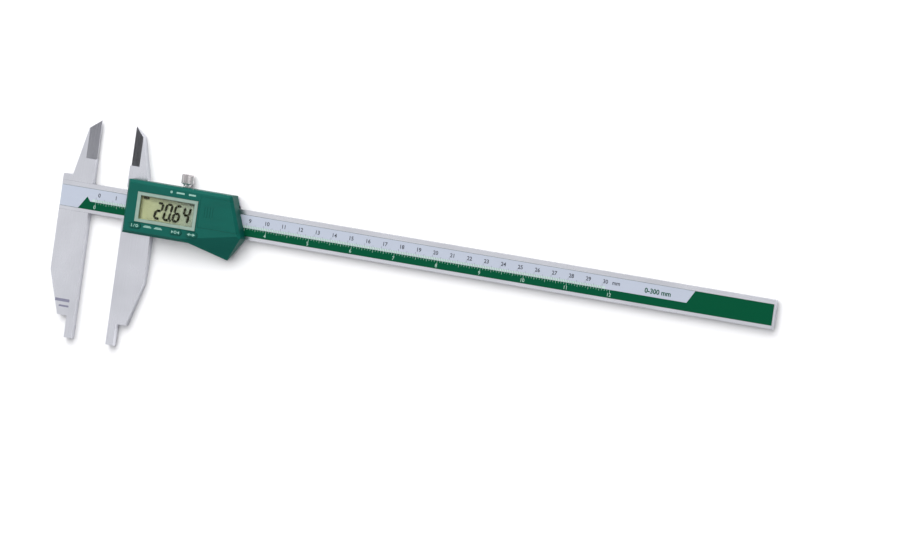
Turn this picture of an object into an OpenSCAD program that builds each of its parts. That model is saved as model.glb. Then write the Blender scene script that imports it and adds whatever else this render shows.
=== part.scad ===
// Digital caliper, 0 to 300 mm, lying on its back with the display up.
// X runs along the beam away from the fixed jaw, Y towards the upper jaws, Z out of the display.
// The origin is on the resting plane, where the fixed jaw's measuring plane meets the beam's centre line.

/* [Measuring range] */
// Longest opening that the scale measures
range_max = 300; // [200:10:400]
// Opening between the jaws as drawn
opening = 20.64; // [0:0.01:200]

/* [Beam] */
// Width of the beam between its guiding edges
beam_w = 16; // [15.5:0.1:16.5]
// Thickness of the beam
beam_t = 3.5; // [3.2:0.1:3.8]
// Beam beyond the slider's jaw face at its longest opening
beam_tail = 104; // [90:1:130]
// Steel left above the scale recess
upper_rail = 2.5; // [2:0.1:3.5]
// Steel left below the scale recess
lower_rail = 1.9; // [1.5:0.1:3.5]
// Depth of the scale recess
recess_d = 0.9; // [0.7:0.05:1.2]

/* [Jaws] */
// Height of the upper jaws above the beam's centre line
upper_reach = 43; // [38:1:50]
// Reach of the lower jaws below the beam's centre line
lower_reach = 77; // [72:1:90]
// Width of the lower jaws at their widest
jaw_w = 17.5; // [16.5:0.1:19]
// Width of each nib, so that two closed nibs measure 10
nib_w = 5; // [4:0.1:6]
// Height of the nibs
nib_h = 11.8; // [8:0.1:15]
// Radius of the nibs' outer faces
nib_r = 4.5; // [4:0.1:6]
// Length of the ground knife edges
knife_len = 21.5; // [15:0.5:24]
// Width of the ground bevel of the knife edges
knife_w = 5.6; // [4:0.1:6.5]

/* [Housing] */
// Height of the housing's front above the resting plane
housing_top = 13; // [12.6:0.1:14]
// Width of the bevel round the housing's front
housing_bevel = 1.5; // [1:0.1:1.6]
// Thickness of the housing's walls
wall = 1.3; // [1:0.1:1.5]
// Length of the display's bezel
bezel_l = 36; // [35.4:0.1:36.2]
// Height of the display's bezel
bezel_h = 16.5; // [16:0.1:16.8]
// Length of the push buttons
key_l = 7; // [5:0.1:7.2]
// Height of the push buttons
key_h = 2.8; // [2.4:0.1:2.8]

/* [Lock screw] */
// Radius of the knurled head
knob_r = 3.4; // [2.5:0.1:3.4]
// Length of the knurled head
knob_l = 6.5; // [4:0.1:9]
// Number of knurls round the head
knurls = 28; // [16:1:36]

/* [Hidden] */
$fn = 48;
eps = 0.01;
far = 100;
fit = 0.1;
slide_gap = 0.05;

// The stack above the resting plane
back_wall = 1.2;
beam_z = back_wall + fit;
jaw_t = beam_z + beam_t;
seat_z = jaw_t + fit;
board_t = 1;
board_top = seat_z + board_t;
top_t = 1.4;
ceiling = housing_top - top_t;
skirt_z = 3.6;

// Beam and scale
head_l = 17.5;
beam_end = range_max + beam_tail;
half_w = beam_w / 2;
scale_low = lower_rail - half_w;
scale_high = half_w - upper_rail;
strip_t = 0.6;
label_t = 0.2;
end_rim = 0.5;
stop_l = 16;
stop_h = 12;
stop_inset = 1;
dowel_r = 1.25;
dowel_at = [[-12.5, -5], [-5, 0], [-12.5, 5]];

// Jaw outlines are drawn for the slider's jaw: measuring plane at x = 0, steel towards +x
nib_top = nib_h - lower_reach;
knife_bottom = upper_reach - knife_len;
knife_edge = 0.7;
jaw_lower_plan = [[0, -half_w], [0, -lower_reach], [nib_w, -lower_reach], [nib_w, nib_top],
    [2 * nib_w, nib_top], [jaw_w - 0.4, -41], [jaw_w, -27], [jaw_w - 0.3, -half_w]];
jaw_upper_plan = [[0, half_w], [13.4, half_w], [5.6, upper_reach - 5.4], [0, upper_reach]];
fixed_plan = [[0, -lower_reach], [nib_w, -lower_reach], [nib_w, nib_top], [2 * nib_w, nib_top],
    [head_l, -41.5], [head_l, 11.5], [12, 11.5], [6, upper_reach - 5], [0, upper_reach]];

// Slider frame, in slider coordinates: u = 0 is the moving jaw's measuring plane
gib_w = 1.5;
gib_room = 1.75;
skirt_t = 0.8;
frame_bottom = -13.7;
frame_top = 14;
gib_screw_r = 1;
gib_screw_u = [14, 56];
gib_screw_z = 2.4;
lock_u = 34.4;
lock_z = knob_r + 0.05;
lock_r = 1.25;
lock_bore_r = lock_r + 0.06;
knob_y = 15.4;
knurl_d = 0.25;
rear_at = [22, -6.5];
rear_l = 32;
rear_h = 13;
rear_d = 0.25;

// Housing outline, counter-clockwise from its lower left corner
housing_plan = [[3.5, -14.5], [43, -14.5], [64.2, -20.8], [73.2, -7.6], [65, 14.8], [3.5, 14.8]];
bevelled_edges = [0, 3, 4, 5];
main_bottom = housing_plan[0].y;
crease_from = [42.4, -12.1];
crease_to = [73.6, -6.2];
crease_run = crease_to - crease_from;
crease_gap = (crease_from.y - main_bottom) * crease_run.x / norm(crease_run);
crease_drop = housing_bevel / crease_gap;
boss_at = [[6.3, 11.9], [23, -11], [44.6, 11.9], [60, -11]];
boss_r = 1.7;
screw_r = 0.8;
screw_head_r = 1.6;
screw_end = 10;
board_screw_at = [[20, 10.7], [38.5, 10.7], [52, -11.2]];
board_screw_r = 0.7;
board_screw_head_r = 1.2;

// Display, from its lower left corner
bezel_at = [10.5, -7.5];
bezel_proud = 0.4;
view_l = 31.8;
view_h = 12.7;
pane_t = 0.9;
pane_l = 35;
pane_h = 15.5;
panel_l = 34;
panel_h = 14.6;
panel_t = 1.9;
panel_z = ceiling - 0.3 - panel_t;
display_c = bezel_at + [bezel_l, bezel_h] / 2;

// Buttons
key_u = [11, 35.4, 44.8];
key_y = -9.65;
key_proud = 0.5;
key_travel = 0.5;
key_room = 0.15;
key_flange = 0.3;
stem_r = 1.2;
dome_top = board_top + 1.2;

// Battery bay: a 16 mm coin cell under a cover that slides off to the right
cell_r = 8;
cell_t = 3.2;
cell_at = [58.2, 3.4];
cell_z = board_top + 1;
bay_r = cell_r + 0.3;
cover_t = 1.6;
cover_left = 47.6;
cover_bottom = -5;
cover_top = 11.8;
tongue_t = 0.6;
tongue_w = 0.7;
grip_at = [50.6, 0.4];
grip_count = 4;
grip_l = 6.4;
grip_w = 0.5;
grip_d = 0.2;
grip_pitch = 1.6;
deck_t = 1.4;
deck_top = housing_top - cover_t - fit;
deck_z = deck_top - deck_t;

steel = [0.75, 0.75, 0.78];
bright = [0.85, 0.85, 0.86];
green = [0.1, 0.35, 0.3];

// ---- Outline helpers ----

// Unit normal of the edge from a to b, pointing into a counter-clockwise outline
function inward(a, b) = [a.y - b.y, b.x - a.x] / norm(b - a);

// The corner q of an outline, moved inwards by d from both of its edges
function inset_corner(p, q, r, d) =
    let (n = inward(p, q), m = inward(q, r)) q + d * (n + m) / (1 + n * m);

// A counter-clockwise outline with every edge moved inwards by d
function inset(plan, d) =
    let (n = len(plan))
        [for (i = [0:n - 1]) inset_corner(plan[(i + n - 1) % n], plan[i], plan[(i + 1) % n], d)];

// Where the housing's slanting right edge is at height y
function right_edge(y) =
    let (a = housing_plan[3], b = housing_plan[4]) a.x + (b.x - a.x) * (y - a.y) / (b.y - a.y);

// A profile of (distance to the left, height) pairs, extruded along the line from a to b
module along(a, b, before = 0, after = 0) {
    run = b - a;
    translate([a.x, a.y, 0])
        rotate([0, 0, atan2(run.y, run.x)])
            translate([-before, 0, 0])
                rotate([90, 0, 90])
                    linear_extrude(norm(run) + before + after) children();
}

// A profile of (x, z) pairs, extruded along Y
module along_y(from, to) {
    translate([0, to, 0])
        rotate([90, 0, 0])
            linear_extrude(to - from) children();
}

// A slot with round ends, centred on the origin
module slot(l, h) {
    square([l - h, h], center = true);
    for (side = [-1, 1]) translate([side * (l - h) / 2, 0]) circle(d = h);
}

module block(from, to) translate(from) cube(to - from);

module on_slider() translate([opening, 0, 0]) children();

// A countersunk screw standing on its head at z = 0
module countersunk(r, head_r, l) {
    cylinder(r1 = head_r, r2 = r, h = head_r - r);
    cylinder(r = r, h = l);
}

// ---- Beam side ----

module beam() color(steel) difference() {
    block([-head_l, -half_w, beam_z], [beam_end, half_w, jaw_t]);
    block([-head_l - 1, scale_low, jaw_t - recess_d], [beam_end - end_rim, scale_high, jaw_t + 1]);
    dowel_row(fit / 5);
    stop_screw_row(fit / 2);
}

// Grinds a knife edge at x = 0 from both sides, on steel that lies towards +x
module knife_grind() {
    slope = (jaw_t - knife_edge) / 2 / knife_w;
    for (side = [0, 1]) translate([0, 0, side * jaw_t]) mirror([0, 0, side])
        along_y(knife_bottom, upper_reach + 1)
            polygon([[-1, slope * (knife_w + 1)], [knife_w, 0], [knife_w, -1], [-1, -1]]);
}

// Rounds the outer face of a nib at x = 0 to nib_w
module nib_round() {
    along_y(-lower_reach - 1, nib_top) difference() {
        translate([nib_w / 2, -1]) square([nib_w / 2 + 1, jaw_t + 2]);
        translate([nib_w - nib_r, jaw_t / 2]) circle(r = nib_r);
    }
}

module fixed_jaw() color(steel) difference() {
    mirror([1, 0, 0]) difference() {
        linear_extrude(jaw_t) polygon(fixed_plan);
        knife_grind();
        nib_round();
    }
    block([-head_l - 1, -half_w, beam_z], [1, half_w, jaw_t + 1]);
    dowel_row(fit / 5);
}

// Three blind dowels from the jaw's back into the beam
module dowel_row(room = 0) {
    for (at = dowel_at)
        translate([at.x, at.y, -room]) cylinder(r = dowel_r + room, h = jaw_t - recess_d - 0.4 + 2 * room);
}

module jaw_dowels() color(bright) dowel_row();

module scale_strip() color("darkolivegreen")
    block([-head_l, scale_low, jaw_t - recess_d],
        [beam_end - end_rim, scale_high, jaw_t - recess_d + strip_t]);

module scale_label() color("lightsteelblue")
    block([-head_l, scale_low, jaw_t - recess_d + strip_t],
        [beam_end - end_rim, scale_high, jaw_t - recess_d + strip_t + label_t]);

module stop_screw_row(room = 0) {
    for (x = [4, stop_l - 4])
        translate([beam_end - stop_inset - stop_l + x, 0, 0]) countersunk(1 + room, 1.9 + room, 3.4 + room);
}

module end_stop() color(steel) difference() {
    block([beam_end - stop_inset - stop_l, -stop_h / 2, 0], [beam_end - stop_inset, stop_h / 2, beam_z]);
    stop_screw_row(fit / 2);
}

module end_stop_screws() color(bright) stop_screw_row();

// ---- Slider frame ----

module frame_plan() intersection() {
    polygon(inset(housing_plan, skirt_t));
    translate([0, frame_bottom]) square([far, frame_top - frame_bottom]);
}

module slider_frame() color(steel) on_slider() difference() {
    union() {
        linear_extrude(jaw_t) {
            polygon(jaw_lower_plan);
            polygon(jaw_upper_plan);
            translate([0, frame_bottom]) square([10, frame_top - frame_bottom]);
        }
        linear_extrude(seat_z) frame_plan();
    }
    block([-1, -half_w - slide_gap, back_wall], [far, half_w + gib_room, seat_z + 1]);
    knife_grind();
    nib_round();
    for (u = gib_screw_u)
        translate([u, frame_top + 1, gib_screw_z]) rotate([90, 0, 0]) cylinder(r = gib_screw_r + 0.03, h = 8);
    translate([lock_u, frame_top + 1, lock_z]) rotate([90, 0, 0]) cylinder(r = lock_bore_r, h = 8);
    for (at = boss_at) translate([at.x, at.y, -eps])
        countersunk(screw_r + 0.1, screw_head_r + 0.1, seat_z + 1);
    for (at = board_screw_at) translate([at.x, at.y, seat_z - 2]) cylinder(r = board_screw_r + 0.03, h = 3);
    block([rear_at.x, rear_at.y, -1], [rear_at.x + rear_l, rear_at.y + rear_h, rear_d]);
}

// Bronze gib, a hair off the beam's upper edge
module gib_strip() color("peru") on_slider()
    block([3, half_w + 0.03, beam_z + fit], [60, half_w + gib_w, jaw_t - 0.3]);

module gib_screws() color(bright) on_slider() for (u = gib_screw_u)
    translate([u, frame_top - 0.6, gib_screw_z]) rotate([90, 0, 0]) difference() {
        cylinder(r = gib_screw_r, h = frame_top - 0.6 - half_w - gib_w - 0.02);
        translate([-2, -0.2, -eps]) cube([4, 0.4, 0.7]);
    }

module rear_label() color("silver") on_slider()
    block([rear_at.x + fit, rear_at.y + fit, rear_d - label_t],
        [rear_at.x + rear_l - fit, rear_at.y + rear_h - fit, rear_d]);

// ---- Board and display ----

module main_board() color("darkgreen") on_slider() translate([0, 0, seat_z]) linear_extrude(board_t)
    difference() {
        translate([8.4, -12.4]) square([53.6, 25]);
        for (i = [1:3]) translate(boss_at[i]) circle(r = boss_r + 0.2);
        for (at = board_screw_at) translate(at) circle(r = board_screw_r + 0.1);
    }

module board_screws() color(bright) on_slider() for (at = board_screw_at) translate([at.x, at.y, 0]) {
    translate([0, 0, seat_z - 1.8]) cylinder(r = board_screw_r, h = 1.8 + board_t);
    translate([0, 0, board_top]) cylinder(r = board_screw_head_r, h = 0.7);
}

// Chip under a low round drop of resin
module controller_chip() color("black") on_slider() translate([display_c.x, display_c.y, board_top])
    rotate_extrude() polygon([[0, 0], [4, 0], [3.4, 0.8], [2, 1.3], [0, 1.5]]);

module zebra_strips() color("dimgray") on_slider() for (side = [-1, 1])
    translate([display_c.x, display_c.y + side * (panel_h / 2 - 1.1), board_top])
        translate([-panel_l / 2 + 1, -0.7, 0]) cube([panel_l - 2, 1.4, panel_z - board_top]);

module display_panel() color([0.57, 0.61, 0.56]) on_slider()
    translate([display_c.x - panel_l / 2, display_c.y - panel_h / 2, panel_z])
        cube([panel_l, panel_h, panel_t]);

module display_holder() color("whitesmoke") on_slider() translate([0, 0, board_top])
    linear_extrude(ceiling - board_top) translate(display_c) difference() {
        square([bezel_l + 0.4, bezel_h + 0.4], center = true);
        square([panel_l + fit, panel_h + fit], center = true);
    }

module display_window() color([0.8, 0.85, 0.85, 0.4]) on_slider()
    translate([display_c.x - pane_l / 2, display_c.y - pane_h / 2, ceiling]) cube([pane_l, pane_h, pane_t]);

module display_bezel() color([0.76, 0.8, 0.78]) on_slider() translate([display_c.x, display_c.y, ceiling])
    difference() {
        linear_extrude(top_t + bezel_proud) square([bezel_l, bezel_h], center = true);
        translate([0, 0, -eps])
            linear_extrude(pane_t + eps) square([pane_l + fit, pane_h + fit], center = true);
        linear_extrude(top_t + 1) square([view_l, view_h], center = true);
    }

module keypad_mat() color("gray") on_slider() {
    difference() {
        block([8.6, -12.1, board_top], [48.2, -8, board_top + 0.6]);
        translate([boss_at[1].x, boss_at[1].y, board_top - 1]) cylinder(r = boss_r + 0.2, h = 3);
    }
    for (u = key_u) translate([u, key_y, board_top]) cylinder(r = 1.6, h = dome_top - board_top);
}

module button(u) color(green) on_slider() translate([u, key_y, 0]) {
    translate([0, 0, ceiling - 0.2]) linear_extrude(top_t + 0.2 + key_proud) slot(key_l, key_h);
    translate([0, 0, ceiling - 0.8]) linear_extrude(0.7) slot(key_l + 2 * key_flange, key_h + 2 * key_flange);
    translate([0, 0, dome_top + key_travel + 0.05])
        cylinder(r = stem_r, h = ceiling - dome_top - key_travel - 0.5);
}

module button_power() button(key_u[0]);
module button_zero() button(key_u[1]);
module button_units() button(key_u[2]);

// ---- Battery ----

module battery() color(bright) on_slider() translate([cell_at.x, cell_at.y, cell_z]) rotate_extrude()
    polygon([[0, 0], [cell_r - 1.2, 0], [cell_r - 1, 0.4], [cell_r, 0.5], [cell_r, cell_t], [0, cell_t]]);

module battery_contact_negative() color("gold") on_slider() translate([cell_at.x, cell_at.y, board_top])
    rotate_extrude()
        polygon([[0, 0.5], [0.8, 0.5], [4, 0], [6, 0], [6, 0.2], [4.1, 0.2], [1.5, 0.95], [0, 0.95]]);

module battery_contact_positive() color("gold") on_slider() translate([cell_at.x, cell_at.y, board_top])
    rotate([0, 0, 240]) rotate_extrude(angle = 60) translate([cell_r + 0.03, 0]) square([0.22, 1 + cell_t]);

// The cover's outline, with every edge moved outwards by room
module cover_plan(room = 0, past = 0) {
    low = cover_bottom - room;
    high = cover_top + room;
    polygon([[cover_left - room, low], [right_edge(low) + past, low], [right_edge(high) + past, high],
        [cover_left - room, high]]);
}

module battery_cover() color(green) on_slider() difference() {
    translate([0, 0, housing_top - cover_t]) {
        linear_extrude(cover_t) cover_plan();
        linear_extrude(tongue_t) intersection() {
            cover_plan(tongue_w);
            translate([cover_left, -far / 2]) square(far);
        }
    }
    front_bevel(3);
    for (i = [0:grip_count - 1]) translate([grip_at.x + i * grip_pitch, grip_at.y, housing_top - grip_d])
        cube([grip_w, grip_l, 1]);
}

// ---- Housing ----

// The wedge that bevels one edge of the housing's front
module front_bevel(i) {
    a = housing_plan[i];
    b = housing_plan[(i + 1) % len(housing_plan)];
    s = housing_bevel;
    along(a, b, 1, i == 0 ? 0 : 1)
        polygon([[-1, housing_top - s - 1], [s + 1, housing_top + 1], [-1, housing_top + 1]]);
}

// Everything above the thumb rest's slope, or above a face that lies drop below it
module thumb_slope(drop = 0) {
    z = housing_top - drop;
    along(crease_from, crease_to, far, far)
        polygon([[0, z], [-30, z - 30 * crease_drop], [-30, housing_top + 1], [0, housing_top + 1]]);
}

module housing_block() difference() {
    translate([0, 0, skirt_z]) linear_extrude(housing_top - skirt_z) polygon(housing_plan);
    for (i = bevelled_edges) front_bevel(i);
    thumb_slope();
}

module main_cavity() difference() {
    translate([0, 0, -eps]) linear_extrude(ceiling + eps) intersection() {
        polygon(inset(housing_plan, wall));
        translate([0, main_bottom + wall]) square(far);
    }
    thumb_slope(top_t);
}

// Hollow under the thumb rest, closed off from the board by the skirt
module thumb_cavity() difference() {
    translate([0, 0, -eps]) linear_extrude(ceiling + eps) intersection() {
        polygon(inset(housing_plan, wall));
        translate([0, main_bottom - far]) square(far);
    }
    thumb_slope(top_t);
}

// Deck under the battery cover and the round wall of the bay
module battery_deck() {
    block([cover_left - tongue_w, cover_bottom - tongue_w - 2 * fit, deck_z], [far, far, deck_z + deck_t]);
    translate([cell_at.x, cell_at.y, board_top + 0.05]) cylinder(r = bay_r + 1, h = deck_z - board_top);
}

// Recess and grooves of the battery cover, open on the right
module cover_recess() {
    translate([0, 0, deck_top]) {
        linear_extrude(cover_t + 1) cover_plan(fit, 3);
        linear_extrude(tongue_t + 2 * fit) intersection() {
            cover_plan(tongue_w + fit, 3);
            translate([cover_left - fit, -far / 2]) square(far);
        }
    }
}

module housing() color(green) on_slider() difference() {
    union() {
        difference() {
            housing_block();
            main_cavity();
            thumb_cavity();
        }
        intersection() {
            housing_block();
            union() {
                battery_deck();
                for (at = boss_at) translate([at.x, at.y, seat_z])
                    cylinder(r = boss_r, h = ceiling - seat_z + eps);
            }
        }
    }
    cover_recess();
    translate([cell_at.x, cell_at.y, 0]) cylinder(r = bay_r, h = deck_top + eps);
    translate([display_c.x, display_c.y, 0])
        linear_extrude(far) square([bezel_l + fit, bezel_h + fit], center = true);
    for (u = key_u) translate([u, key_y, 0])
        linear_extrude(far) slot(key_l + 2 * key_room, key_h + 2 * key_room);
    for (at = boss_at) translate([at.x, at.y, 0]) cylinder(r = screw_r + 0.02, h = screw_end + 0.3);
    frame_room();
    block([lock_u - lock_r - 0.35, frame_top - 1, 0], [lock_u + lock_r + 0.35, far, lock_z + lock_r + 0.35]);
}

// Space under the housing for the frame, its jaws and the beam
module frame_room() {
    translate([0, 0, -1]) linear_extrude(seat_z + 1) {
        intersection() {
            polygon(inset(housing_plan, skirt_t - fit));
            translate([0, frame_bottom - fit]) square([far, frame_top - frame_bottom + 2 * fit]);
        }
        translate([0, -far]) square([jaw_w + 4 * fit, far]);
        square([jaw_upper_plan[1].x + 2 * fit, far]);
        translate([-1, -half_w - fit]) square([far, beam_w + gib_room + fit]);
    }
}

module housing_screws() color(bright) on_slider()
    for (at = boss_at) translate([at.x, at.y, 0.02]) countersunk(screw_r, screw_head_r, screw_end);

// ---- Lock screw ----

module lock_screw() color(bright) on_slider() translate([lock_u, knob_y, lock_z]) rotate([-90, 0, 0]) {
    difference() {
        linear_extrude(knob_l) polygon([for (i = [0:2 * knurls - 1])
            let (r = knob_r - (i % 2) * knurl_d, a = i * 180 / knurls) [r * cos(a), r * sin(a)]]);
        for (end = [0, 1]) translate([0, 0, end * knob_l]) mirror([0, 0, end]) rotate_extrude()
            polygon([[knob_r - 0.5, -1], [knob_r - 0.5, 0], [knob_r, 0.5], [knob_r + 1, 0.5],
                [knob_r + 1, -1]]);
    }
    shank_l = knob_y - half_w - gib_w - fit;
    translate([0, 0, -shank_l]) cylinder(r = lock_r, h = shank_l + 1);
}

beam();
fixed_jaw();
jaw_dowels();
scale_strip();
scale_label();
end_stop();
end_stop_screws();
slider_frame();
gib_strip();
gib_screws();
rear_label();
main_board();
board_screws();
controller_chip();
zebra_strips();
display_panel();
display_holder();
display_window();
display_bezel();
keypad_mat();
battery();
battery_contact_negative();
battery_contact_positive();
housing();
housing_screws();
lock_screw();
button_power();
button_zero();
button_units();
battery_cover();
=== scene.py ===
"""Looks of a 300 mm digital caliper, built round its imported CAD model. Metres, +Z up, display up."""
from math import cos, floor, pi, radians, sin, tan

import bmesh
import bpy
from mathutils import Matrix, Vector


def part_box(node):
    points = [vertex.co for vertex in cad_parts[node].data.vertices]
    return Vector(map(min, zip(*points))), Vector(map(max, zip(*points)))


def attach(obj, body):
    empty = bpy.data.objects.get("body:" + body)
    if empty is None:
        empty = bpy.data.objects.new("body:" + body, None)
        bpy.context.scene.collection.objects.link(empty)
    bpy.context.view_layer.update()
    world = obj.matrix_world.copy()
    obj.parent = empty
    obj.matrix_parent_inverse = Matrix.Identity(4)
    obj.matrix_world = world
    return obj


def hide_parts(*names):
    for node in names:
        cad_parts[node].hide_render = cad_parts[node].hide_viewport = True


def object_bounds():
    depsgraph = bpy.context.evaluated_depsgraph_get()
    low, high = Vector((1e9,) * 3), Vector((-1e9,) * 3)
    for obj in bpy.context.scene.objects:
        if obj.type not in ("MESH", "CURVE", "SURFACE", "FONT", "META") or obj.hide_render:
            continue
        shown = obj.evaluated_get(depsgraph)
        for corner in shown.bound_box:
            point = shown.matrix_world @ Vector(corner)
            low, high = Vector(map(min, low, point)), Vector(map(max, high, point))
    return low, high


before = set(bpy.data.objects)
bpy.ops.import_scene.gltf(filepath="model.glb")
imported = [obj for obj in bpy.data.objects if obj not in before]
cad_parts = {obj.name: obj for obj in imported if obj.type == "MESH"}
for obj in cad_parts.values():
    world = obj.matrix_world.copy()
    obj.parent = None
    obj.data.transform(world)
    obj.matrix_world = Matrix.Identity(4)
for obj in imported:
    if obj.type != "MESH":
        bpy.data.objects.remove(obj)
cad_low, cad_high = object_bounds()

MM = 0.001
MICRON = 0.001 * MM
CM = 10 * MM
INCH = 25.4 * MM

# ---- Places that the frame gives ----

def middle_of(node):
    low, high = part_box(node)
    return (low + high) / 2


label_low, label_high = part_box("scale_label")
bezel_low, bezel_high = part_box("display_bezel")
panel_low, panel_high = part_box("display_panel")
housing_low, housing_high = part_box("housing")
# The fixed jaw measures from x = 0, so the slider's left face gives the opening at rest.
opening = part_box("slider_frame")[0].x


# ---- Finishes ----

class Finish:
    """A material with one Principled node, and short ways to drive it from procedural textures."""

    def __init__(self, name, **plain):
        self.material = bpy.data.materials.new(name)
        self.material.use_nodes = True
        self.tree = self.material.node_tree
        self.shader = self.tree.nodes["Principled BSDF"]
        for socket, value in plain.items():
            self.shader.inputs[socket.replace("_", " ")].default_value = value
        self.place = self.add("ShaderNodeTexCoord").outputs["Object"]

    def add(self, kind, **settings):
        node = self.tree.nodes.new(kind)
        for name, value in settings.items():
            setattr(node, name, value)
        return node

    def feed(self, socket, value):
        """Links a socket or sets a plain value."""
        if isinstance(value, bpy.types.NodeSocket):
            self.tree.links.new(value, socket)
        else:
            socket.default_value = value

    def drive(self, socket, value):
        self.feed(self.shader.inputs[socket], value)

    def in_grains(self, grain):
        """The place on the object, counted in grains of one length or of one length for each axis."""
        node = self.add("ShaderNodeMapping", vector_type="TEXTURE")
        self.feed(node.inputs["Vector"], self.place)
        node.inputs["Scale"].default_value = (grain,) * 3 if isinstance(grain, float) else grain
        return node.outputs["Vector"]

    def noise(self, grain, detail=2.0, roughness=0.5):
        """Soft noise of one grain, or stretched along the axes with the longer grain."""
        node = self.add("ShaderNodeTexNoise")
        self.feed(node.inputs["Vector"], self.in_grains(grain))
        node.inputs["Scale"].default_value = 1.0
        node.inputs["Detail"].default_value = detail
        node.inputs["Roughness"].default_value = roughness
        return node.outputs["Fac"]

    def cells(self, grain):
        """Distance to the nearest of many scattered points, grain apart."""
        node = self.add("ShaderNodeTexVoronoi")
        self.feed(node.inputs["Vector"], self.in_grains(grain))
        node.inputs["Scale"].default_value = 1.0
        return node.outputs["Distance"]

    def remap(self, value, low, high, start=0.3, end=0.7):
        node = self.add("ShaderNodeMapRange")
        self.feed(node.inputs["Value"], value)
        self.feed(node.inputs["From Min"], start)
        self.feed(node.inputs["From Max"], end)
        self.feed(node.inputs["To Min"], low)
        self.feed(node.inputs["To Max"], high)
        return node.outputs["Result"]

    def maths(self, operation, a, b):
        node = self.add("ShaderNodeMath", operation=operation)
        self.feed(node.inputs[0], a)
        self.feed(node.inputs[1], b)
        return node.outputs["Value"]

    def blend(self, factor, low, high):
        """A colour between two colours."""
        node = self.add("ShaderNodeMix", data_type="RGBA")
        self.feed(node.inputs["Factor"], factor)
        self.feed(node.inputs[6], (*low, 1) if isinstance(low, tuple) else low)
        self.feed(node.inputs[7], (*high, 1) if isinstance(high, tuple) else high)
        return node.outputs[2]

    def bump(self, *layers):
        """Relief from (height, depth in metres) layers, one on the other."""
        normal = None
        for height, depth in layers:
            node = self.add("ShaderNodeBump")
            node.inputs["Distance"].default_value = depth
            self.feed(node.inputs["Height"], height)
            if normal is not None:
                self.feed(node.inputs["Normal"], normal)
            normal = node.outputs["Normal"]
        self.drive("Normal", normal)


def shade(colour, by):
    return tuple(min(1.0, c * by) for c in colour)


def ground_metal(name, colour, grain, roughness, depth):
    """Metal ground in one direction: long fine scratches, deeper ones, and faint clouds of handling."""
    finish = Finish(name, Metallic=1.0)
    scratches = finish.noise(grain, detail=3.0, roughness=0.65)
    deeper = finish.noise(tuple(g * 2.7 for g in grain), detail=1.0)
    clouds = finish.noise(18 * MM, detail=3.0)
    tone = finish.blend(finish.remap(scratches, 0, 1), shade(colour, 0.9), shade(colour, 1.06))
    worn = finish.blend(finish.remap(clouds, 0, 0.5), tone, shade(colour, 0.93))
    finish.drive("Base Color", worn)
    fine = finish.remap(scratches, roughness * 0.82, roughness * 1.2)
    finish.drive("Roughness", finish.maths("ADD", fine, finish.remap(clouds, -0.03, 0.05)))
    finish.bump((scratches, depth), (deeper, depth * 1.5))
    return finish.material


def turned_metal(name, colour, roughness, grain=0.25 * MM):
    """Plated or polished metal with soft mottling."""
    finish = Finish(name, Metallic=1.0)
    mottle = finish.noise(grain)
    clouds = finish.noise(4 * MM)
    tone = finish.blend(finish.remap(clouds, 0, 1), shade(colour, 0.92), shade(colour, 1.04))
    finish.drive("Base Color", tone)
    finish.drive("Roughness", finish.remap(mottle, roughness * 0.8, roughness * 1.25))
    finish.bump((mottle, 2 * MICRON))
    return finish.material


def moulded(name, colour, roughness, grain, depth, specular=0.5):
    """Moulded plastic or rubber with a spark-eroded skin, slight flow marks and handling shine."""
    finish = Finish(name, Specular_IOR_Level=specular)
    skin = finish.noise(grain, roughness=0.6)
    pits = finish.cells(grain * 2.3)
    flow = finish.noise((20 * MM, 6 * MM, 6 * MM))
    tone = finish.blend(finish.remap(flow, 0, 1), shade(colour, 0.94), shade(colour, 1.07))
    finish.drive("Base Color", finish.blend(finish.remap(skin, 0, 0.35), tone, shade(colour, 0.8)))
    shine = finish.remap(flow, roughness * 0.9, roughness * 1.08)
    finish.drive("Roughness", finish.maths("ADD", shine, finish.remap(skin, -0.05, 0.05)))
    finish.bump((pits, depth * 0.5), (skin, depth))
    return finish.material


def ink(name, colour, roughness=0.5, specular=0.15):
    """Screen-printed ink: slightly uneven and a little thin in places."""
    finish = Finish(name, Specular_IOR_Level=specular)
    body = finish.noise(0.3 * MM)
    tone = finish.blend(finish.remap(body, 0, 1), shade(colour, 0.93), shade(colour, 1.07))
    finish.drive("Base Color", tone)
    finish.drive("Roughness", finish.remap(body, roughness * 0.9, roughness * 1.15))
    finish.bump((body, 3 * MICRON))
    return finish.material


def foil(name, colour, metallic, roughness):
    """Printed or bare foil with a fine brushed ground."""
    finish = Finish(name, Metallic=metallic, Specular_IOR_Level=0.4)
    brushed = finish.noise((12 * MM, 0.12 * MM, 0.12 * MM))
    clouds = finish.noise(30 * MM)
    tone = finish.blend(finish.remap(brushed, 0, 1), shade(colour, 0.96), shade(colour, 1.03))
    finish.drive("Base Color", finish.blend(finish.remap(clouds, 0, 0.4), tone, shade(colour, 0.95)))
    finish.drive("Roughness", finish.remap(brushed, roughness * 0.9, roughness * 1.15))
    finish.bump((brushed, 2 * MICRON))
    return finish.material


def display_ground():
    """The reflector behind the liquid crystal: grey-green and finely flaked, with painted light making it
    lighter and yellower to the left and painted shade making it darker and greyer to the right.
    """
    finish = Finish("display_ground", Specular_IOR_Level=0.2)
    flakes = finish.noise(0.12 * MM)
    across = finish.add("ShaderNodeSeparateXYZ")
    finish.feed(across.inputs["Vector"], finish.place)
    # Painted light and shade across the display: lighter and yellower at the left end, darker and greyer at
    # the right.
    side = finish.remap(across.outputs["X"], 0, 1, start=panel_low.x, end=panel_high.x)
    tone = finish.blend(side, (0.28, 0.28, 0.13), (0.15, 0.18, 0.14))
    finish.drive("Base Color", finish.blend(finish.remap(flakes, 0, 0.3), tone, (0.28, 0.32, 0.25)))
    finish.drive("Roughness", finish.remap(flakes, 0.32, 0.5))
    finish.bump((flakes, 3 * MICRON))
    return finish.material


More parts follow.
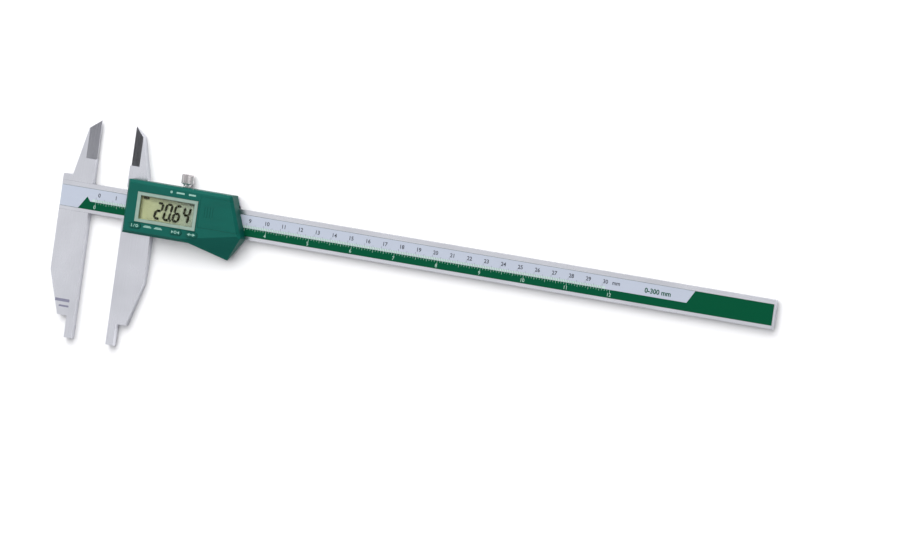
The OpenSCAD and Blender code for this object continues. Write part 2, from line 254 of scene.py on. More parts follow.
def clear_pane():
    """Clear moulded acrylic, with the faintest waviness."""
    finish = Finish("clear_pane", Base_Color=(0.95, 0.98, 0.96, 1), Transmission_Weight=1.0, IOR=1.2)
    waves = finish.noise(6 * MM, detail=1.0)
    finish.drive("Roughness", finish.remap(waves, 0.02, 0.05))
    finish.bump((waves, 10 * MICRON))
    return finish.material


def solder_mask():
    """Green solder mask over a field of fine copper tracks."""
    finish = Finish("solder_mask", Roughness=0.3, Coat_Weight=0.3)
    bricks = finish.add("ShaderNodeTexBrick", offset=0.35, squash=0.6)
    finish.feed(bricks.inputs["Vector"], finish.place)
    bricks.inputs["Scale"].default_value = 300.0
    bricks.inputs["Color1"].default_value = (0.01, 0.12, 0.05, 1)
    bricks.inputs["Color2"].default_value = (0.015, 0.16, 0.07, 1)
    bricks.inputs["Mortar"].default_value = (0.03, 0.24, 0.1, 1)
    bricks.inputs["Mortar Size"].default_value = 0.03
    finish.drive("Base Color", bricks.outputs["Color"])
    finish.bump((bricks.outputs["Fac"], 30 * MICRON))
    return finish.material


STEEL = (0.68, 0.69, 0.735)
GREEN = (0.002, 0.092, 0.071)
ALONG = (30 * MM, 0.3 * MM, 0.3 * MM)
ACROSS = (0.3 * MM, 30 * MM, 0.3 * MM)
ROUND = (4 * MM, 4 * MM, 0.3 * MM)

steel_along = ground_metal("steel_ground_along", STEEL, ALONG, 0.3, 6 * MICRON)
steel_across = ground_metal("steel_ground_across", STEEL, ACROSS, 0.3, 6 * MICRON)
# The rounded edges of the steel take a lighter copy of the steel, with a round grain: a painted highlight
# along the edges.
steel_edge_highlight = ground_metal("steel_edge_highlight", shade(STEEL, 1.12), ROUND, 0.2, 2 * MICRON)
nickel = turned_metal("bright_nickel", (0.95, 0.9, 0.9), 0.3)
cell_steel = turned_metal("cell_steel", (0.7, 0.7, 0.71), 0.28, 0.4 * MM)
bronze = ground_metal("bronze", (0.62, 0.4, 0.2), (20 * MM, 0.4 * MM, 0.4 * MM), 0.35, 4 * MICRON)
gold_plate = turned_metal("gold_plate", (0.85, 0.63, 0.3), 0.25)
green_skin = moulded("green_plastic", GREEN, 0.42, 0.22 * MM, 20 * MICRON, specular=0.15)
# The rounded edges of the green parts take a lighter copy of the green: a painted highlight along the edges.
green_edge_highlight = moulded("green_plastic_edge_highlight", shade(GREEN, 1.25), 0.34, 0.22 * MM, 10 * MICRON, specular=0.3)
green_rubber = moulded("green_rubber", (0.004, 0.08, 0.06), 0.6, 0.3 * MM, 15 * MICRON, specular=0.2)
silver_skin = turned_metal("silver_plastic", (0.42, 0.56, 0.48), 0.38, 0.12 * MM)
black_resin = moulded("black_resin", (0.015, 0.015, 0.016), 0.2, 1.2 * MM, 30 * MICRON)
grey_silicone = moulded("grey_silicone", (0.2, 0.2, 0.21), 0.65, 0.3 * MM, 10 * MICRON)
white_plastic = moulded("white_plastic", (0.75, 0.75, 0.72), 0.4, 0.3 * MM, 10 * MICRON)
label_foil = foil("label_foil", (0.43, 0.47, 0.555), 0.0, 0.4)
plain_foil = foil("plain_foil", (0.7, 0.71, 0.72), 1.0, 0.35)
dark_ink = ink("dark_ink", (0.045, 0.05, 0.065))
green_ink = ink("green_ink", (0.0, 0.07, 0.03), specular=0.06)
pale_ink = ink("pale_ink", (0.42, 0.58, 0.51))
mint_ink = ink("mint_ink", (0.46, 0.58, 0.55))
mark_ink = ink("mark_ink", (0.27, 0.46, 0.4))
etched = ink("etched_grey", (0.2, 0.2, 0.27))
segment_ink = ink("segment_ink", (0.01, 0.01, 0.003), specular=0.05)
board_mask = solder_mask()
pane = clear_pane()
reflector = display_ground()


# ---- Mesh helpers ----

FONT_PER_HEIGHT = 1.38
HARD_ANGLE = 35


def prism(bm, outline, low, high):
    """A closed prism over a counter-clockwise outline of (x, y) points."""
    floor_points = [bm.verts.new((x, y, low)) for x, y in outline]
    roof_points = [bm.verts.new((x, y, high)) for x, y in outline]
    bm.faces.new(reversed(floor_points))
    bm.faces.new(roof_points)
    for i, point in enumerate(floor_points):
        after = (i + 1) % len(outline)
        bm.faces.new((point, floor_points[after], roof_points[after], roof_points[i]))


def bar(bm, x, y, width, height, low, high):
    """A prism over a rectangle centred on x, y."""
    left, right = x - width / 2, x + width / 2
    under, over = y - height / 2, y + height / 2
    prism(bm, [(left, under), (right, under), (right, over), (left, over)], low, high)


def plus(bm, x, y, arm, half, low, high):
    """A prism over a plus sign whose arms reach arm from its middle and are twice half wide."""
    quarter = [(arm, -half), (arm, half), (half, half)]
    outline = []
    for _ in range(4):
        outline += quarter
        quarter = [(-v, u) for u, v in quarter]
    prism(bm, [(x + u, y + v) for u, v in outline], low, high)


def link(name, bm):
    """Turns a finished bmesh into an object in the scene."""
    mesh = bpy.data.meshes.new(name)
    bm.to_mesh(mesh)
    bm.free()
    made = bpy.data.objects.new(name, mesh)
    bpy.context.scene.collection.objects.link(made)
    return made


def from_bmesh(name, bm, material, body, replaced=()):
    """Turns a finished bmesh into a piece that rides on a body and may replace CAD nodes."""
    made = link(name, bm)
    made.data.materials.append(material)
    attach(made, body)
    if replaced:
        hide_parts(*replaced)
    return made


def figures(name, words, height, thickness, material, body, weight=0.0):
    """Numbers and units as one mesh. words are (text, x, y, z), centred on x, y. weight widens strokes."""
    bm = bmesh.new()
    for text, x, y, z in words:
        curve = bpy.data.curves.new("figure", "FONT")
        curve.body = text
        curve.size = height * FONT_PER_HEIGHT
        curve.offset = weight
        curve.align_x = "CENTER"
        curve.align_y = "CENTER"
        curve.extrude = thickness / 2
        curve.resolution_u = 3
        holder = bpy.data.objects.new("figure", curve)
        bpy.context.scene.collection.objects.link(holder)
        bpy.context.view_layer.update()
        mesh = bpy.data.meshes.new_from_object(holder)
        mesh.transform(Matrix.Translation((x, y, z + thickness / 2)))
        bm.from_mesh(mesh)
        bpy.data.objects.remove(holder)
        bpy.data.curves.remove(curve)
        bpy.data.meshes.remove(mesh)
    bmesh.ops.remove_doubles(bm, verts=bm.verts, dist=MICRON)
    return from_bmesh(name, bm, material, body)


def paint(node, *materials):
    """Gives a CAD node its finishes, in the order of its material slots."""
    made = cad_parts[node]
    made.data.materials.clear()
    for material in materials:
        made.data.materials.append(material)
    return made


def soften(node, material, edge_material, width, segments=2):
    """Paints a CAD node and rounds its hard edges a little by modifiers."""
    made = paint(node, material, edge_material)
    weld = made.modifiers.new("weld", "WELD")
    weld.merge_threshold = 2 * MICRON
    flat = made.modifiers.new("flat", "DECIMATE")
    flat.decimate_type = "DISSOLVE"
    flat.angle_limit = radians(0.5)
    edge = made.modifiers.new("edge", "BEVEL")
    edge.width = width
    edge.segments = segments
    edge.limit_method = "ANGLE"
    edge.angle_limit = radians(HARD_ANGLE)
    edge.harden_normals = True
    # The rounds take edge_material; for the steel and the green parts it is a lighter copy, a painted
    # highlight along the edges.
    edge.material = 1


# ---- Finishes of the CAD nodes ----

soften("beam", steel_along, steel_edge_highlight, 0.25 * MM)
soften("fixed_jaw", steel_across, steel_edge_highlight, 0.2 * MM)
soften("slider_frame", steel_across, steel_edge_highlight, 0.2 * MM)
soften("end_stop", steel_along, steel_edge_highlight, 0.2 * MM)
soften("housing", green_skin, green_edge_highlight, 0.25 * MM, segments=3)
soften("battery_cover", green_skin, green_edge_highlight, 0.15 * MM)
soften("display_bezel", silver_skin, silver_skin, 0.2 * MM, segments=3)
for button in ("button_power", "button_zero", "button_units"):
    soften(button, green_rubber, green_rubber, 0.3 * MM, segments=3)
soften("display_holder", white_plastic, white_plastic, 0.1 * MM)
soften("display_window", pane, pane, 0.1 * MM)
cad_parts["display_window"].visible_shadow = False
for circuit in ("scale_strip", "main_board"):
    paint(circuit, board_mask)
for pin in ("jaw_dowels", "gib_screws"):
    paint(pin, nickel)
for contact in ("battery_contact_negative", "battery_contact_positive"):
    paint(contact, gold_plate)
for pad in ("zebra_strips", "keypad_mat"):
    paint(pad, grey_silicone)
paint("gib_strip", bronze)
paint("rear_label", plain_foil)
paint("controller_chip", black_resin)


# ---- Printed scale ----

INK = 0.02 * MM
SEAM = 0.12 * MM
CM_COUNT = 30
INCH_COUNT = 12
# The housing's left edge is the index: at rest it stands over the reading.
scale_zero = housing_low.x - opening
scale_end = scale_zero + CM_COUNT * CM
label_top = label_high.z
foil_start, foil_end = label_low.x + SEAM, label_high.x - SEAM
foil_low, foil_high = label_low.y + SEAM, label_high.y - SEAM
stripe_start = 0.2 * MM
stripe_top = -1.6 * MM
block_start = foil_end - 46 * MM
stripe_end = block_start - 4.2 * MM
cm_figure_y = 2.3 * MM
inch_figure_y = -4.5 * MM
range_y = 1.3 * MM


def foil_print(name, bm, material):
    from_bmesh(name, bm, material, "beam_side")


def label_piece():
    """The printed foil, a hair narrower than its recess so that a thin seam shows."""
    outline = [(foil_start, foil_low), (foil_end, foil_low), (foil_end, foil_high), (foil_start, foil_high)]
    bm = bmesh.new()
    prism(bm, outline, label_low.z, label_top)
    from_bmesh("scale_foil", bm, label_foil, "beam_side", ["scale_label"])


def green_background():
    """The stripe under the ticks with its pointed start, and the slanted block at the beam's end."""
    point = [(-6.4 * MM, foil_low), (stripe_start, foil_low), (stripe_start, stripe_top),
             (-0.7 * MM, -0.4 * MM), (-1.8 * MM, 0.8 * MM)]
    stripe = [(stripe_start, foil_low), (stripe_end, foil_low), (stripe_end, stripe_top),
              (stripe_start, stripe_top)]
    end_block = [(stripe_end, foil_low), (foil_end, foil_low), (foil_end, foil_high),
                 (block_start, foil_high), (stripe_end, stripe_top)]
    bm = bmesh.new()
    for outline in (point, stripe, end_block):
        prism(bm, outline, label_top - INK, label_top + INK)
    foil_print("scale_green", bm, green_ink)


def tick_band():
    """The pale band at the feet of the ticks, a little longer than the scale at both ends."""
    spare = 2 * MM
    bm = bmesh.new()
    bar(bm, (scale_zero + scale_end) / 2, stripe_top + 0.75 * MM, scale_end - scale_zero + 2 * spare,
        1.3 * MM, label_top - INK, label_top + INK / 2)
    foil_print("scale_band", bm, mint_ink)


def tick_row(name, material, count, pitch, foot, lengths, width):
    """A row of ticks from the zero line. lengths are (every, length) pairs, coarsest first."""
    bm = bmesh.new()
    for i in range(count + 1):
        length = next(size for every, size in lengths if i % every == 0)
        bar(bm, scale_zero + i * pitch, foot + length / 2, width, abs(length),
            label_top - INK, label_top + 1.5 * INK)
    foil_print(name, bm, material)


def scale_ticks():
    """Millimetres that stand on the stripe's edge, and sixteenths of an inch that hang into the stripe."""
    tick_row("scale_ticks_mm", dark_ink, CM_COUNT * 10, MM, stripe_top + 0.1 * MM,
             [(10, 2.5 * MM), (5, 2.0 * MM), (1, 1.4 * MM)], 0.13 * MM)
    tick_row("scale_ticks_inch", pale_ink, INCH_COUNT * 16, INCH / 16, stripe_top - 0.05 * MM,
             [(16, -2.0 * MM), (8, -1.6 * MM), (4, -1.3 * MM), (1, -0.9 * MM)], 0.15 * MM)


def figure_row(count, pitch, shift, y, z):
    """The numbers from 0 to count, each shifted along x from its tick."""
    return [(str(i), scale_zero + i * pitch + shift, y, z) for i in range(count + 1)]


def scale_figures():
    """Centimetres and their unit above the ticks, inches in the stripe, and the range before the block."""
    centimetres = figure_row(CM_COUNT, CM, 1.7 * MM, cm_figure_y, label_top)
    centimetres.append(("mm", scale_end + 8 * MM, cm_figure_y, label_top))
    figures("scale_figures_cm", centimetres, 2.2 * MM, INK, dark_ink, "beam_side",
            weight=0.06 * MM)
    inches = figure_row(INCH_COUNT, INCH, -0.3 * MM, inch_figure_y, label_top + INK)
    figures("scale_figures_inch", inches, 2.0 * MM, INK, pale_ink, "beam_side")
    span = [(f"0-{CM_COUNT * 10} mm", scale_end + 32.5 * MM, range_y, label_top)]
    figures("scale_range", span, 2.7 * MM, INK, green_ink, "beam_side", weight=0.1 * MM)


def jaw_marks():
    """Two plain etched bars low on the fixed jaw: x, y, width and height in millimetres."""
    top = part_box("fixed_jaw")[1].z
    bm = bmesh.new()
    for x, y, width, height in ((-8.1, -57.1, 8.6, 1.6), (-6.8, -60.2, 5.8, 1.0)):
        bar(bm, x * MM, y * MM, width * MM, height * MM, top - INK, top + INK / 4)
    from_bmesh("jaw_marks", bm, etched, "beam_side")


label_piece()
green_background()
tick_band()
scale_ticks()
scale_figures()
jaw_marks()


# ---- Display ----

SEGMENTS = {"0": "abcdef", "1": "bc", "2": "abdeg", "3": "abcdg", "4": "bcfg", "5": "acdfg",
            "6": "acdefg", "7": "abc", "8": "abcdefg", "9": "abcdfg"}
DIGIT_W = 4.5 * MM
DIGIT_H = 9.8 * MM
DIGIT_PITCH = 5.45 * MM
SEGMENT_T = 1.3 * MM
SEGMENT_GAP = 0.12 * MM
POINT_W = 0.75 * MM
LEAN = tan(radians(10))
CRYSTAL_DEPTH = 0.35 * MM
display_at = middle_of("display_bezel")
segment_low, segment_high = panel_high.z - 0.1 * MM, panel_high.z
reading_right = bezel_high.x - 4.7 * MM
reading_y = display_at.y - 0.6 * MM


def segment_ends(letter):
    """Where one of the seven segments starts and ends, from the digit's middle."""
    x, y = (DIGIT_W - SEGMENT_T) / 2, (DIGIT_H - SEGMENT_T) / 2
    return {"a": ((-x, y), (x, y)), "b": ((x, 0), (x, y)), "c": ((x, -y), (x, 0)),
            "d": ((-x, -y), (x, -y)), "e": ((-x, -y), (-x, 0)), "f": ((-x, 0), (-x, y)),
            "g": ((-x, 0), (x, 0))}[letter]


def segment_outline(start, end):
    """A six-sided bar with pointed ends, a little short of both ends."""
    ahead = (Vector(end) - Vector(start)).normalized()
    side = Vector((-ahead.y, ahead.x)) * SEGMENT_T / 2
    tip = ahead * SEGMENT_T / 2
    first, last = Vector(start) + ahead * SEGMENT_GAP, Vector(end) - ahead * SEGMENT_GAP
    return [first, first + tip - side, last - tip - side, last, last - tip + side, first + tip + side]


def reflector_piece():
    """The pale ground of the display, a little below the panel's face."""
    size = panel_high - panel_low
    bm = bmesh.new()
    bar(bm, display_at.x, display_at.y, size.x, size.y, panel_low.z, panel_high.z - CRYSTAL_DEPTH)
    from_bmesh("display_reflector", bm, reflector, "slider", ["display_panel"])


def reading_piece():
    """The slider's opening in slanted seven-segment digits, set from the right, as one mesh."""
    bm = bmesh.new()
    x = reading_right - DIGIT_W / 2
    for sign in reversed(f"{opening / MM:.2f}"):
        if sign == ".":
            foot = (SEGMENT_T - DIGIT_H) / 2
            bar(bm, x + DIGIT_PITCH / 2 + LEAN * foot, reading_y + foot, POINT_W, SEGMENT_T,
                segment_low, segment_high)
            continue
        for letter in SEGMENTS[sign]:
            outline = segment_outline(*segment_ends(letter))
            leaning = [(x + p.x + LEAN * p.y, reading_y + p.y) for p in outline]
            prism(bm, leaning, segment_low, segment_high)
        x -= DIGIT_PITCH
    from_bmesh("display_digits", bm, segment_ink, "slider")


def battery_sign():
    """A small outlined battery with its cap and three bars of charge."""
    x, y = bezel_low.x + 4.6 * MM, display_at.y + 5.225 * MM
    width, height, line = 2.6 * MM, 1.25 * MM, 0.25 * MM
    bm = bmesh.new()
    for way in (-1, 1):
        bar(bm, x, y + way * height / 2, width, line, segment_low, segment_high)
        bar(bm, x + way * width / 2, y, line, height + line, segment_low, segment_high)
    bar(bm, x + width / 2 + 0.3 * MM, y, line, 0.7 * MM, segment_low, segment_high)
    for step in (-1, 0, 1):
        bar(bm, x + step * 0.75 * MM, y, 0.5 * MM, 0.75 * MM, segment_low, segment_high)
    from_bmesh("display_battery_sign", bm, segment_ink, "slider")


def unit_sign():
    """The unit, above the last digit."""
    words = [("mm", reading_right + 0.3 * MM, display_at.y + 5.5 * MM, segment_low)]
    figures("display_unit", words, 1.1 * MM, segment_high - segment_low, segment_ink, "slider")


reflector_piece()
reading_piece()
battery_sign()
unit_sign()


# ---- Marks on the housing ----

MARK_W = 4.8 * MM
MARK_H = 1.7 * MM
LINE = 0.4 * MM
RING_R = 0.65 * MM


def ring(bm, x, y, radius, width, low, high, steps=24):
    """A flat ring as a loop of short prisms."""
    inner, outer = radius - width / 2, radius + width / 2
    for i in range(steps):
        a, b = 2 * pi * i / steps, 2 * pi * (i + 1) / steps
        outline = [(inner, a), (outer, a), (outer, b), (inner, b)]
        prism(bm, [(x + r * cos(t), y + r * sin(t)) for r, t in outline], low, high)


def arrow(bm, x, y, reach, low, high):
    """A solid triangle that points along x, or against it where reach is negative."""
    points = [(x, y - MARK_H / 2), (x + reach, y), (x, y + MARK_H / 2)]
    prism(bm, points if reach > 0 else list(reversed(points)), low, high)


def power_sign(bm, x, y, low, high):
    """A bar, a slash and a ring, for on and off."""
    bar(bm, x - 1.7 * MM, y, LINE, MARK_H, low, high)
    slash = [(-0.75, -0.5), (-0.45, -0.5), (0.35, 0.5), (0.05, 0.5)]
    prism(bm, [(x + u * MM, y + v * MARK_H) for u, v in slash], low, high)
    ring(bm, x + 1.5 * MM, y, RING_R, LINE, low, high)


def zero_sign(bm, x, y, low, high):
    """Two arrows that close on a ring, for set to zero."""
    ring(bm, x, y, RING_R, 0.35 * MM, low, high)
    for way in (-1, 1):
        arrow(bm, x + way * 2.3 * MM, y, -way * 1.2 * MM, low, high)


def units_sign(bm, x, y, low, high):
    """An arrow with two heads, for change of units."""
    bar(bm, x, y, 2.2 * MM, LINE, low, high)
    for way in (-1, 1):
        arrow(bm, x + way * 0.9 * MM, y, way * 1.5 * MM, low, high)


def key_marks():
    """The generic signs on the three keys."""
    for key, sign in (("button_power", power_sign), ("button_zero", zero_sign), ("button_units", units_sign)):
        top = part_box(key)[1].z
        middle = middle_of(key)
        bm = bmesh.new()
        sign(bm, middle.x, middle.y, top - INK, top + INK / 2)
        from_bmesh(f"{key}_sign", bm, mark_ink, key)


def face_marks():
    """Plain printed bars and a dot round the display. Places along the housing are from the opening."""
    low, high = housing_high.z - INK, housing_high.z + INK / 2
    under = middle_of("button_power").y
    over = bezel_high.y + 2.6 * MM
    bm = bmesh.new()
    for u in (18.5, 24.9):
        bar(bm, opening + u * MM, under, MARK_W, 0.5 * MM, low, high)
        bar(bm, opening + u * MM, under + 0.6 * MM, MARK_W * 0.7, LINE, low, high)
    ring(bm, opening + 29.9 * MM, over, 0.45 * MM, 0.5 * MM, low, high, steps=16)
    for u, width in ((35.3, 4.8), (42.3, 4.2)):
        bar(bm, opening + u * MM, over, width * MM, 0.9 * MM, low, high)
    from_bmesh("housing_marks", bm, mark_ink, "slider")


key_marks()
face_marks()


# ---- Screws and cell ----

UP = Vector((0, 0, 1))
DOWN = Vector((0, 0, -1))
KNURLS = 28
KNURL_PITCH = 1.5 * MM
KNURL_DEPTH = 0.28 * MM
THREAD_PITCH = 0.4 * MM
RECESS_START = 0.05 * MM


def lathe(bm, profile, centre, axis, steps=32, dent=None):
    """A closed solid of revolution over (distance along the axis, radius) pairs, both ends capped.
    dent(along, angle) is taken off the radius."""
    across = axis.orthogonal().normalized()
    other = axis.cross(across)
    rings = []
    for along, radius in profile:
        ring_points = []
        for i in range(steps):
            angle = 2 * pi * i / steps
            r = radius - (dent(along, angle) if dent else 0)
            spoke = cos(angle) * across + sin(angle) * other
            ring_points.append(bm.verts.new(centre + axis * along + r * spoke))
        rings.append(ring_points)
    for near, far in zip(rings, rings[1:]):
        for i in range(steps):
            after = (i + 1) % steps
            bm.faces.new((near[i], near[after], far[after], far[i]))
    bm.faces.new(list(reversed(rings[0])))
    bm.faces.new(rings[-1])


def solids(node):
    """The (lowest, highest) corners of each separate solid in a CAD node, ordered along x, then y."""
    bm = bmesh.new()
    bm.from_mesh(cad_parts[node].data)
    bmesh.ops.remove_doubles(bm, verts=bm.verts, dist=MICRON)
    left, boxes = set(bm.verts), []
    while left:
        stack, island = [left.pop()], []
        while stack:
            vert = stack.pop()
            island.append(vert.co.copy())
            near = {edge.other_vert(vert) for edge in vert.link_edges} & left
            left -= near
            stack.extend(near)
        boxes.append((Vector(map(min, zip(*island))), Vector(map(max, zip(*island)))))
    bm.free()
    return sorted(boxes, key=lambda box: (round(box[0].x, 5), box[0].y))


def smooth_by_angle(made, degrees=30):
    """Shades curved stretches smooth and keeps the hard edges."""
    mesh = made.data
    mesh.shade_smooth()
    bm = bmesh.new()
    bm.from_mesh(mesh)
    for edge in bm.edges:
        edge.smooth = len(edge.link_faces) == 2 and edge.calc_face_angle(0) < radians(degrees)
    bm.to_mesh(mesh)
    bm.free()


def knurl(along, angle):
    """Depth of a diamond knurl: two families of crossing helical grooves."""
    turns = KNURLS * angle / (2 * pi)
    lead = along / KNURL_PITCH
    ridges = [2 * abs(turns + way * lead - floor(turns + way * lead) - 0.5) for way in (-1, 1)]
    return KNURL_DEPTH * (1 - min(ridges))


def lock_screw_piece():
    """Knurled head with chamfered ends, a turned collar and crown, and a plain shank into the frame."""
    low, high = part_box("lock_screw")
    radius = (high.x - low.x) / 2
    foot = Vector(((low.x + high.x) / 2, low.y, (low.z + high.z) / 2))
    axis = Vector((0, 1, 0))
    tip_r, shank_r, collar_r = 0.95 * MM, 1.25 * MM, 2.2 * MM
    end = high.y - low.y
    base = end - 6.5 * MM
    neck = base + 0.9 * MM
    band = neck + 0.5 * MM
    crown = end - 0.55 * MM
    bm = bmesh.new()
    lathe(bm, [(0, tip_r), (0.35 * MM, shank_r), (base, shank_r)], foot, axis)
    lathe(bm, [(base - MICRON, collar_r), (neck, collar_r)], foot, axis, steps=48)
    rows = 44
    head = [(neck, radius - 0.7 * MM)]
    head += [(band + (crown - band) * i / rows, radius) for i in range(rows + 1)]
    head += [(crown + 0.35 * MM, radius - 0.4 * MM)]

    def dent(along, angle):
        return knurl(along, angle) if band - MICRON < along < crown + MICRON else 0

    lathe(bm, head, foot, axis, steps=KNURLS * 6, dent=dent)
    top = [(crown + 0.3 * MM, radius - 0.75 * MM), (crown + 0.45 * MM, radius - 0.85 * MM),
           (crown + 0.52 * MM, radius * 0.45), (end, radius * 0.12)]
    lathe(bm, top, foot, axis, steps=48)
    made = from_bmesh("lock_screw_knurled", bm, nickel, "lock_screw", ["lock_screw"])
    smooth_by_angle(made)


def carve(made, cutter_bm):
    """Cuts a shape out of a piece's mesh."""
    cutter = link("cutter", cutter_bm)
    cut = made.modifiers.new("cut", "BOOLEAN")
    cut.object = cutter
    cut.operation = "DIFFERENCE"
    cut.solver = "EXACT"
    bpy.context.view_layer.update()
    carved = bpy.data.meshes.new_from_object(made.evaluated_get(bpy.context.evaluated_depsgraph_get()))
    made.modifiers.clear()
    made.data = carved
    bpy.data.meshes.remove(cutter.data)


def countersunk_head(head_r, shank_r):
    rim = 0.08 * MM
    return [(0, head_r - rim), (rim, head_r), (head_r - shank_r + rim, shank_r)]


def pan_head(head_r, shank_r):
    foot = 0.7 * MM
    return [(0, head_r * 0.55), (0.15 * MM, head_r * 0.85), (0.35 * MM, head_r), (foot, head_r),
            (foot, shank_r)]


def thread(start, length, shank_r):
    """The profile of a threaded shank from its start to its tip, both measured from the top of the head."""
    core_r = shank_r * 0.86
    run = length - start - 0.3 * MM
    turns = max(2, int(run / THREAD_PITCH))
    pitch = run / turns
    profile = []
    for i in range(turns):
        at = start + i * pitch
        profile += [(at + 0.15 * pitch, shank_r), (at + 0.5 * pitch, core_r), (at + 0.85 * pitch, shank_r)]
    return profile + [(length - 0.2 * MM, core_r), (length, shank_r * 0.45)]


def screw_set(name, node, body, axis, head_profile):
    """Replaces a node's screws by threaded ones with a cross recess. axis runs from head to tip."""
    bm, cutter = bmesh.new(), bmesh.new()
    for low, high in solids(node):
        middle = (low + high) / 2
        head_r = (high.x - low.x) / 2
        length = high.z - low.z
        top = Vector((middle.x, middle.y, low.z if axis.z > 0 else high.z))
        shank_r = head_r * 0.52
        profile = head_profile(head_r, shank_r)
        profile += thread(profile[-1][0], length, shank_r)
        lathe(bm, profile, top, axis)
        deep = min(0.6 * head_r, length * 0.3)
        ends = sorted((top.z - axis.z * RECESS_START, top.z + axis.z * deep))
        plus(cutter, middle.x, middle.y, head_r * 0.55, head_r * 0.13, *ends)
    made = from_bmesh(name, bm, nickel, body, [node])
    carve(made, cutter)
    smooth_by_angle(made)


def battery_piece():
    """Coin cell: its cap and sealing ring below, the rolled can above with a plus sign."""
    low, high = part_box("battery")
    radius, height = (high.x - low.x) / 2, high.z - low.z
    foot = Vector(((low.x + high.x) / 2, (low.y + high.y) / 2, low.z))
    cap = [(0, 1.6), (0.05, 1.3), (0.4, 1.05), (0.5, 0.35), (0.75, 0.05), (1.0, 0)]
    profile = [(along * MM, radius - inset * MM) for along, inset in cap]
    profile += [(height - 0.35 * MM, radius), (height - 0.1 * MM, radius - 0.12 * MM),
                (height, radius - 0.4 * MM)]
    bm = bmesh.new()
    lathe(bm, profile, foot, UP, steps=96)
    made = from_bmesh("coin_cell", bm, cell_steel, "slider", ["battery"])
    sign = bmesh.new()
    plus(sign, foot.x, foot.y, 2 * MM, 0.35 * MM, high.z - 0.08 * MM, high.z + MM)
    carve(made, sign)
    smooth_by_angle(made)


lock_screw_piece()
screw_set("case_screws", "housing_screws", "slider", UP, countersunk_head)
screw_set("stop_screws", "end_stop_screws", "beam_side", UP, countersunk_head)
screw_set("circuit_screws", "board_screws", "slider", DOWN, pan_head)
battery_piece()


# ---- Floor, light and camera ----

FLOOR_R = 30.0
AZIMUTH = radians(100.9)
ELEVATION = radians(67.65)
ROLL = radians(9.66)
LENS = 800
SENSOR = 36
CLIP_END = 100
VIEW_WIDTH = 0.486
LOOK_AT = Vector((0.2151, -0.0063, 0.005))
HORIZON = (1, 1, 1, 1)
LOW_SKY = (0.3, 0.3, 0.31, 1)
HIGH_SKY = (0.42, 0.42, 0.44, 1)
# Each flag's direction, the angles at which its rim and its dark core start, and what light it leaves.
FLAGS = [((-0.88, -0.08, 0.47), 31, 18, 0.15), ((0.4, -0.08, 0.93), 16, 8, 0.6)]


def add_floor():
    bm = bmesh.new()
    bmesh.ops.create_circle(bm, cap_ends=True, radius=FLOOR_R, segments=96)
    made = link("floor", bm)
    finish = Finish("floor", Base_Color=(0.94, 0.94, 0.945, 1), Roughness=0.7, Specular_IOR_Level=0.2)
    made.data.materials.append(finish.material)


def place_light(light, towards, distance, glossy):
    """Puts a light in a direction from the middle of the object, shining at it."""
    made = bpy.data.objects.new(light.name, light)
    bpy.context.scene.collection.objects.link(made)
    aim = Vector(towards).normalized()
    made.location = (cad_low + cad_high) / 2 + aim * distance
    made.rotation_mode = "QUATERNION"
    made.rotation_quaternion = aim.to_track_quat("Z", "Y")
    made.visible_camera = False
    made.visible_glossy = glossy


def add_softbox(name, towards, distance, size, watts, glossy=True):
    """A rectangular area light."""
    light = bpy.data.lights.new(name, "AREA")
    light.shape = "RECTANGLE"
    light.size, light.size_y = size
    light.energy = watts
    place_light(light, towards, distance, glossy)


def add_sky_fill(towards, width, strength):
    """Even soft light from a wide patch of sky, the same all over the floor wherever the lamp stands."""
    light = bpy.data.lights.new("fill", "SUN")
    light.angle = radians(width)
    light.energy = strength
    place_light(light, towards, distance=3.0, glossy=False)


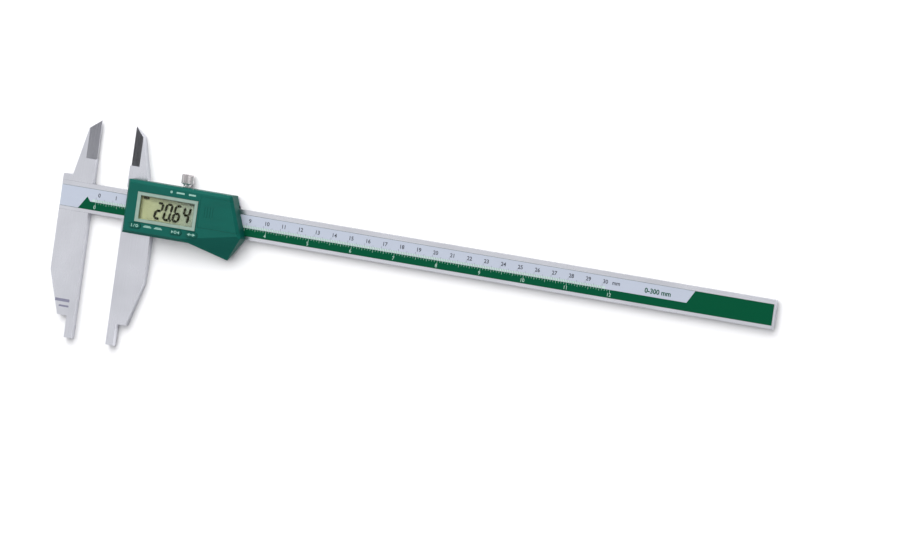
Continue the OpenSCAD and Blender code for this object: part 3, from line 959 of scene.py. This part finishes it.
def add_world():
    """Even pale surroundings, white below the horizon like the floor, with two darker flags."""
    world = bpy.data.worlds.new("studio")
    bpy.context.scene.world = world
    world.use_nodes = True
    nodes, links = world.node_tree.nodes, world.node_tree.links
    direction = nodes.new("ShaderNodeTexCoord").outputs["Generated"]
    split = nodes.new("ShaderNodeSeparateXYZ")
    links.new(direction, split.inputs["Vector"])
    ramp = nodes.new("ShaderNodeValToRGB")
    links.new(split.outputs["Z"], ramp.inputs["Fac"])
    ramp.color_ramp.elements[0].color = HORIZON
    ramp.color_ramp.elements.new(0.02).color = LOW_SKY
    ramp.color_ramp.elements[2].color = HIGH_SKY
    links.new(ramp.outputs["Color"], nodes["Background"].inputs["Color"])
    strength = nodes.new("ShaderNodeMath")
    strength.operation = "MULTIPLY"
    links.new(strength.outputs["Value"], nodes["Background"].inputs["Strength"])
    for slot, (towards, rim, core, least) in enumerate(FLAGS):
        nearness = nodes.new("ShaderNodeVectorMath")
        nearness.operation = "DOT_PRODUCT"
        links.new(direction, nearness.inputs[0])
        nearness.inputs[1].default_value = Vector(towards).normalized()
        level = nodes.new("ShaderNodeMapRange")
        links.new(nearness.outputs["Value"], level.inputs["Value"])
        level.inputs["From Min"].default_value = cos(radians(rim))
        level.inputs["From Max"].default_value = cos(radians(core))
        level.inputs["To Min"].default_value = 1.0
        level.inputs["To Max"].default_value = least
        links.new(level.outputs["Result"], strength.inputs[slot])


def add_camera():
    """A long lens, turned about its own axis so that the beam falls away to the right."""
    back = Vector((sin(AZIMUTH) * cos(ELEVATION), -cos(AZIMUTH) * cos(ELEVATION), sin(ELEVATION)))
    along = Vector((1, 0, 0))
    along = (along - along.dot(back) * back).normalized()
    right = cos(ROLL) * along + sin(ROLL) * back.cross(along)
    place = Matrix((right, back.cross(right), back)).transposed().to_4x4()
    place.translation = LOOK_AT + back * VIEW_WIDTH * LENS / SENSOR
    camera = bpy.data.cameras.new("camera")
    camera.lens = LENS
    camera.sensor_width = SENSOR
    camera.clip_end = CLIP_END
    made = bpy.data.objects.new("camera", camera)
    bpy.context.scene.collection.objects.link(made)
    made.matrix_world = place
    bpy.context.scene.camera = made


add_floor()
add_softbox("overhead", towards=(-0.42, -0.1, 0.9), distance=1.4, size=(1.5, 1.2), watts=3.3)
add_softbox("key", towards=(-0.25, 0.75, 0.75), distance=1.8, size=(0.9, 0.7), watts=5, glossy=False)
add_sky_fill(towards=(-0.15, 0.65, 0.75), width=80, strength=2.9)
add_world()
add_camera()
bpy.context.scene.view_settings.view_transform = "Standard"
